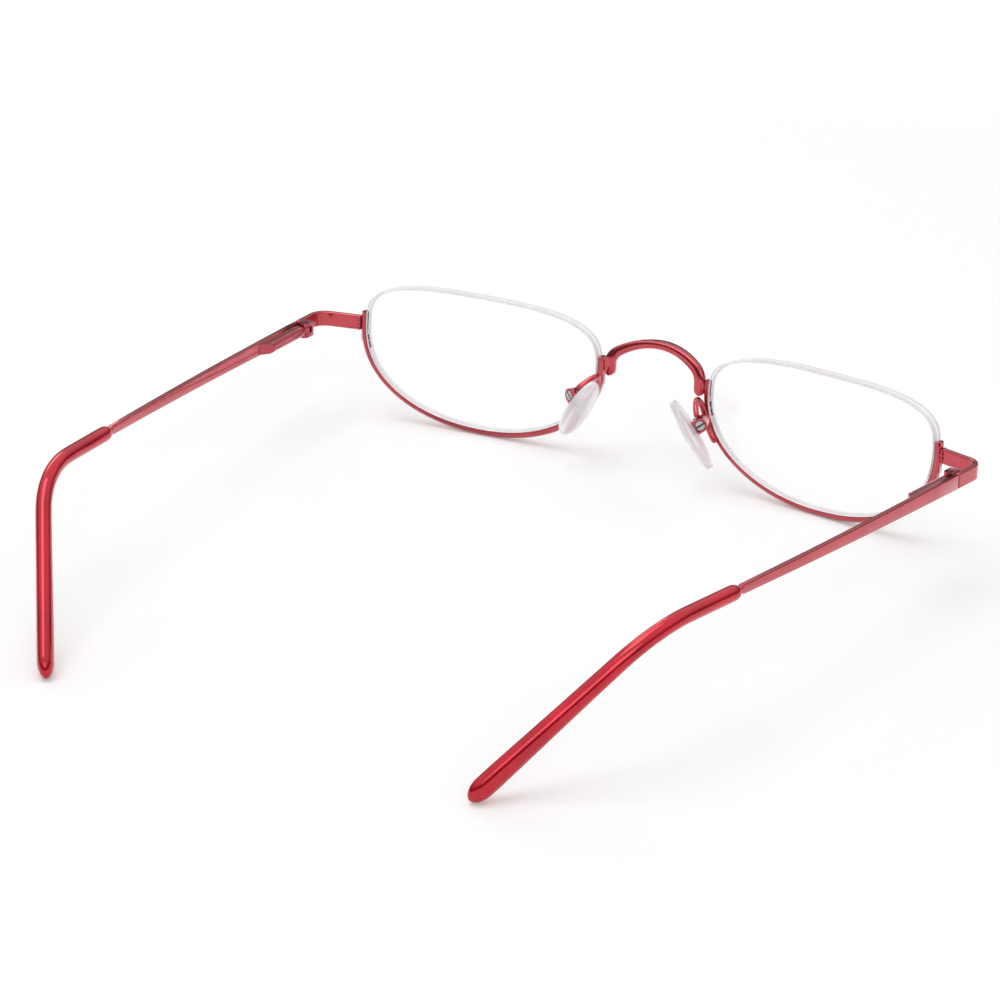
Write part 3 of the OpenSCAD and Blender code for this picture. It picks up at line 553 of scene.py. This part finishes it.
def hingeCollar(side):
    draw = jointAxis(side + "_spring_draw")
    across = draw.cross(Vector((0, 0, 1))).normalized()
    up = across.cross(draw)
    points = [v.co for v in frame["nodes"][side + "_spring_housing"].data.vertices]
    mouth = min(p.dot(draw) for p in points)
    rim = [p for p in points if p.dot(draw) < mouth + collarSettings["mouth"] * mm]
    outline = outlineOf(rim, across, up)
    middle = [(min(q[i] for q in outline) + max(q[i] for q in outline)) / 2 for i in (0, 1)]
    inset = collarSettings["inset"]
    outline = [[middle[i] + (q[i] - middle[i]) * inset for i in (0, 1)] for q in outline]
    shape = bmesh.new()
    ends = []
    for back in (collarSettings["clear"], collarSettings["clear"] + collarSettings["long"]):
        place = draw * (mouth - back * mm)
        ends.append([shape.verts.new(place + across * (q[0] * mm) + up * (q[1] * mm)) for q in outline])
    for k in range(len(outline)):
        n = (k + 1) % len(outline)
        shape.faces.new((ends[0][k], ends[0][n], ends[1][n], ends[1][k]))
    shape.faces.new(ends[0])
    shape.faces.new(ends[1])
    bmesh.ops.recalc_face_normals(shape, faces=shape.faces)
    mesh = meshFrom(side + "_hinge_collar", shape)
    mesh.materials.append(darkRedLacquer)
    smoothBy(mesh, collarSettings["smooth"])
    collar = addPiece(side + "_hinge_collar", mesh, side + "_plunger")
    roundEdges(collar, collarSettings["round"], collarSettings["roundFrom"])


# Springs: smooth copies of their solids in bright steel, riding on the temple
springSettings = {"smooth": 60, "spare": 1.05}    # degrees, and a share of the travel


def hingeSpring(side):
    mesh = weldedMesh(side + "_hinge_spring")
    mesh.materials.clear()
    mesh.materials.append(brightSteel)
    smoothBy(mesh, springSettings["smooth"])
    spring = addPiece(side + "_hinge_spring_coil", mesh, side + "_temple",
                      [side + "_hinge_spring"])
    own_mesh(spring)


for side in sides:
    hingeCollar(side)
    hingeSpring(side)
print("hinges made")


# Screw heads: the floor of the slot gets painted shade, from the steel with painted shade
slotSettings = {
    "from": 0.04,    # mm under the end of the screw
    "to": 0.5,
    "flat": 0.9,     # cosine with the screw's axis, above which a face is a floor
}


def darkenSlot(side):
    piece = bpy.data.objects[side + "_pad_screw_fine"]
    piece.data.materials.append(recessedSteel)
    axis = jointAxis(side + "_pad_rock")
    points = [v.co.dot(axis) for v in piece.data.vertices]
    ends = {1: max(points), -1: min(points)}
    for face in piece.data.polygons:
        height = face.center.dot(axis)
        for way, end in ends.items():
            depth = (end - height) * way
            inSlot = slotSettings["from"] * mm < depth < slotSettings["to"] * mm
            if inSlot and face.normal.dot(axis) * way > slotSettings["flat"]:
                face.material_index = 1


for side in sides:
    darkenSlot(side)
print("screw slots darkened")


# Brazing: a lumpy bead of lacquered metal along each seam between a piece and the rim
brazeSettings = {
    "lump": 0.35,    # how much thinner a bead is between its lumps, as a share
    "uneven": 0.5,
    "wave": 3.1,     # how fast the unevenness changes along a bead
    "apart": 7.3,    # distance in the noise between two beads
    "blunt": 0.4,    # 0 for square ends, 1 for pointed ones
    "rings": 30,
    "around": 12,
    "strip": 0.8,    # mm of the touching surface that are taken as the seam
    "seams": {       # where a piece meets the rim: at the rear (1) or front (-1), within a reach in mm
        "endpiece_rear": {"piece": "endpiece", "way": 1, "reach": 0.6, "radius": 0.34,
                          "shift": (0.22, 0.16, 0), "lumps": 4},
        "endpiece_front": {"piece": "endpiece", "way": -1, "reach": 0.6, "radius": 0.30,
                           "shift": (0.20, -0.10, 0), "lumps": 4},
        "bridge_rear": {"piece": "bridge", "way": 1, "reach": 0.3, "radius": 0.30,
                        "shift": (0, 0, 0), "lumps": 2},
        "pad_arm": {"piece": "pad_arm", "way": 1, "reach": 0.12, "radius": 0.46,
                    "shift": (0, 0, 0), "lumps": 1},
    },
}


def surfaceOf(node):
    mesh = frame["nodes"][node].data
    return BVHTree.FromPolygons([v.co for v in mesh.vertices], [p.vertices for p in mesh.polygons])


def seamBetween(node, rim, way, reach):
    surface = surfaceOf(rim)
    points = [v.co.copy() for v in frame["nodes"][node].data.vertices]
    touching = [p for p in points if surface.find_nearest(p, reach * mm)[0]]
    furthest = max(p.y * way for p in touching)
    line = [p for p in touching if p.y * way > furthest - brazeSettings["strip"] * mm]
    return min(line, key=lambda p: p.z), max(line, key=lambda p: p.z)


def brazeBead(name, start, end, thick, lumps, seed):
    along = (end - start).normalized()
    side = along.orthogonal().normalized()
    other = along.cross(side)
    rings, around = brazeSettings["rings"], brazeSettings["around"]
    shape = bmesh.new()
    rows = []
    for i in range(1, rings):
        t = i / rings
        wave = abs(math.sin(math.pi * lumps * t))
        spot = Vector((seed * brazeSettings["apart"], t * brazeSettings["wave"], 0))
        wave += brazeSettings["uneven"] * noise.noise(spot)
        ends = math.sin(math.pi * t) ** brazeSettings["blunt"]
        radius = thick * mm * ends * (1 - brazeSettings["lump"] * (1 - wave))
        middle = start.lerp(end, t)
        row = []
        for k in range(around):
            a = 2 * math.pi * k / around
            row.append(shape.verts.new(middle + (side * math.cos(a) + other * math.sin(a)) * radius))
        rows.append(row)
    skinRows(shape, rows, (start, end))
    mesh = meshFrom(name, shape)
    mesh.materials.append(redLacquer)
    mesh.shade_smooth()
    addPiece(name, mesh, "front")


for side in sides:
    for seed, (label, seam) in enumerate(brazeSettings["seams"].items()):
        node = seam["piece"] if seam["piece"] in frame["nodes"] else side + "_" + seam["piece"]
        start, end = seamBetween(node, side + "_rim", seam["way"], seam["reach"])
        shift = Vector(seam["shift"]) * mm
        shift.x *= sides[side]
        brazeBead(side + "_braze_" + label, start + shift, end + shift, seam["radius"], seam["lumps"],
                  seed + sides[side])
print("brazing made")


# Lenses: finer copies of their solids, with one material on the polished faces and one on the edge
def dressLens(node):
    mesh = weldedMesh(node)
    mesh.materials.clear()
    mesh.materials.append(lensFace)
    mesh.materials.append(lensEdge)
    rearward = [p.normal * (p.area if p.normal.y > 0 else -p.area) for p in mesh.polygons]
    axis = sum(rearward, Vector()).normalized()
    for face in mesh.polygons:
        face.material_index = 0 if abs(face.normal.dot(axis)) > lensSettings["flat"] else 1
    smoothBy(mesh, lensSettings["corner"])
    shape = bmesh.new()
    shape.from_mesh(mesh)
    crease = shape.edges.layers.float.new("crease_edge")
    for edge in shape.edges:
        if len(edge.link_faces) == 2 and edge.calc_face_angle() > math.radians(lensSettings["corner"]):
            edge[crease] = 1.0
    shape.to_mesh(mesh)
    shape.free()
    lens = addPiece(node + "_polished", mesh, "front", [node])
    makeFiner(lens, lensSettings["finer"])


for side in sides:
    dressLens(side + "_lens")
print("lenses made")


# Nose pads: an oval cushion, crowned towards the nose and hollowed a little at the back
padSettings = {
    "rows": 40,
    "around": 48,
    "boxy": 2.3,        # 2 for an oval section, more for a boxier one
    "sides": 0.94,      # 1 for an oval outline, less for fuller ends
    "taper": 0.08,      # how much wider the lower end is, as a share
    "crown": 0.8,       # less for a thickness that holds further towards the ends
    "thin": 0.34,       # thickness at the ends, as a share of the middle's
    "hollow": 0.3,      # of the back, as a share of the thickness
    "inside": 1.02,     # keeps the widest place inside the node's box
    "fill": 0.8,
}


def padFrame(side):
    across = jointAxis(side + "_pad_rock")
    points = [v.co for v in frame["nodes"][side + "_nose_pad"].data.vertices]
    top = max(points, key=lambda p: p.z)
    low = min(points, key=lambda p: p.z)
    along = (top - low - across * (top - low).dot(across)).normalized()
    out = along.cross(across).normalized()
    if out.x * sides[side] < 0:
        out = -out    # from the nose towards the box

    def reach(axis):
        places = [p.dot(axis) for p in points]
        return min(places), max(places)

    return along, across, out, reach(along), reach(across), reach(out)


def softPad(side):
    along, across, out, length, width, depth = padFrame(side)
    middle = along * sum(length) / 2 + across * sum(width) / 2 + out * sum(depth) / 2
    halfL, halfW, halfT = ((r[1] - r[0]) / 2 for r in (length, width, depth))
    shape = bmesh.new()
    rows = []
    count = padSettings["rows"]
    sharp = 2 / padSettings["boxy"]
    for i in range(1, count):
        u = -math.cos(math.pi * i / count)    # -1 at the lower end, 1 at the upper one
        bow = math.sqrt(1 - u * u)
        span = bow ** padSettings["sides"] * (1 - padSettings["taper"] * u) / padSettings["inside"]
        thick = halfT * (padSettings["thin"] + (1 - padSettings["thin"]) * bow ** padSettings["crown"])
        row = []
        for k in range(padSettings["around"]):
            t = 2 * math.pi * k / padSettings["around"]
            c, s = math.cos(t), math.sin(t)
            w = math.copysign(abs(c) ** sharp, c) * halfW * span
            d = math.copysign(abs(s) ** sharp, s) * thick
            if s > 0:
                d *= 1 - padSettings["hollow"] * (1 - abs(c)) * bow * bow    # the back, towards the box
            row.append(shape.verts.new(middle + along * u * halfL + across * w + out * d))
        rows.append(row)
    skinRows(shape, rows, (middle - along * halfL, middle + along * halfL))
    mesh = meshFrom(side + "_soft_pad", shape)
    mesh.materials.append(softClear)
    mesh.shade_smooth()
    pad = addPiece(side + "_soft_pad", mesh, side + "_pad", [side + "_nose_pad"])


for side in sides:
    softPad(side)
print("nose pads made")


# Inner pieces are the frame's own solids
innerFinish = {"spring_bush": brightSteel, "spring_retainer": brightSteel, "pad_insert": insertPlastic}
for part, material in innerFinish.items():
    for side in sides:
        node = frame["nodes"][side + "_" + part]
        node.data.materials.clear()
        node.data.materials.append(material)
print("inner pieces dressed")


# Studio: pale floor, soft lamps, and a wall round it, dim below, that only reflections see
studioSettings = {
    "floorSize": 4.0,
    "floor": {"Base Color": (0.86, 0.86, 0.86, 1), "Roughness": 0.9, "Specular IOR Level": 0.0,
              "Emission Color": (1, 1, 1, 1)},
    "floorGlow": {"From Min": 0.25, "From Max": 1.6, "To Min": 0.15, "To Max": 0.85},    # metres outwards
    "surround": {"To Min": 0.6, "To Max": 1.0},    # as light on the object, and where it is seen
    "wall": {"radius": 1.5, "height": 1.2, "around": 48},
    "wallGlow": {"From Min": 0.12, "From Max": 1.05, "To Min": 0.02, "To Max": 0.85},    # metres upwards
    "wallSockets": {"Base Color": (0, 0, 0, 1), "Specular IOR Level": 0.0, "Emission Color": (1, 1, 1, 1)},
    "lamps": {
        "overhead": {"place": (0.25, 0.1, 1.3), "size": (1.0, 0.8), "power": 5.5},
        "behindLeft": {"place": (-0.9, 1.0, 0.8), "size": (0.9, 0.9), "power": 4.5},
        "frontRight": {"place": (1.2, -0.9, 0.7), "size": (0.7, 1.0), "power": 3.5},
    },
}


# 1 for rays that see the background, straight, in a reflection or through a clear piece
def seenRays(nodes, links):
    path = nodes.new("ShaderNodeLightPath")
    either = path.outputs["Is Camera Ray"]
    for ray in ("Is Glossy Ray", "Is Transmission Ray"):
        either = addMath(nodes, links, "MAXIMUM", either, path.outputs[ray])
    return either


def floorMaterial():
    material, shader = newMaterial("paleFloor")
    dressShader(material, shader, None, None, studioSettings["floor"])
    nodes, links = material.node_tree.nodes, material.node_tree.links
    place = nodes.new("ShaderNodeTexCoord")
    away = nodes.new("ShaderNodeVectorMath")
    away.operation = "LENGTH"
    links.new(place.outputs["Object"], away.inputs[0])
    level = addSpan(nodes, links, away.outputs["Value"], studioSettings["floorGlow"])
    glow = addMath(nodes, links, "MULTIPLY", seenRays(nodes, links), level.outputs["Result"])
    links.new(glow, shader.inputs["Emission Strength"])
    return material


def stagePiece(name, corners, faces, material):
    mesh = bpy.data.meshes.new(name)
    mesh.from_pydata(corners, [], faces)
    mesh.materials.append(material)
    piece = bpy.data.objects.new(name, mesh)
    bpy.context.scene.collection.objects.link(piece)
    return piece


def addFloor():
    half = studioSettings["floorSize"] / 2
    corners = [(-half, -half, 0), (half, -half, 0), (half, half, 0), (-half, half, 0)]
    stagePiece("floor", corners, [(0, 1, 2, 3)], floorMaterial())


def wallMaterial():
    material, shader = newMaterial("dimWall")
    dressShader(material, shader, None, None, studioSettings["wallSockets"])
    nodes, links = material.node_tree.nodes, material.node_tree.links
    place = nodes.new("ShaderNodeTexCoord")
    split = nodes.new("ShaderNodeSeparateXYZ")
    links.new(place.outputs["Object"], split.inputs["Vector"])
    climb = addSpan(nodes, links, split.outputs["Z"], studioSettings["wallGlow"])
    climb.interpolation_type = "SMOOTHSTEP"
    links.new(climb.outputs["Result"], shader.inputs["Emission Strength"])
    return material


def addWall():
    wall = studioSettings["wall"]
    count = wall["around"]
    turns = [2 * math.pi * k / count for k in range(count)]
    ring = [(wall["radius"] * math.cos(t), wall["radius"] * math.sin(t)) for t in turns]
    corners = [(x, y, z) for z in (0, wall["height"]) for x, y in ring]
    faces = [(k, (k + 1) % count, count + (k + 1) % count, count + k) for k in range(count)]
    piece = stagePiece("wall", corners, faces, wallMaterial())
    for ray in ("camera", "diffuse", "transmission", "shadow", "volume_scatter"):
        setattr(piece, "visible_" + ray, False)


def addLamps():
    for name, settings in studioSettings["lamps"].items():
        light = bpy.data.lights.new(name, "AREA")
        light.shape = "RECTANGLE"
        light.size, light.size_y = settings["size"]
        light.energy = settings["power"]
        lamp = bpy.data.objects.new(name, light)
        lamp.location = settings["place"]
        lamp.rotation_euler = Vector(settings["place"]).to_track_quat("Z", "Y").to_euler()
        lamp.visible_transmission = False    # else it sparkles in the pads
        bpy.context.scene.collection.objects.link(lamp)


def addSurround():
    world = bpy.data.worlds.new("studio")
    world.use_nodes = True
    nodes, links = world.node_tree.nodes, world.node_tree.links
    nodes.clear()
    level = addSpan(nodes, links, seenRays(nodes, links), studioSettings["surround"])
    shade = nodes.new("ShaderNodeBackground")
    shade.inputs["Color"].default_value = (1, 1, 1, 1)
    links.new(level.outputs["Result"], shade.inputs["Strength"])
    output = nodes.new("ShaderNodeOutputWorld")
    links.new(shade.outputs["Background"], output.inputs["Surface"])
    bpy.context.scene.world = world


def addStudio():
    addFloor()
    addWall()
    addLamps()
    addSurround()
    print("studio made")


addCamera(cameraSettings)
addStudio()
bpy.context.scene.view_settings.view_transform = "Standard"
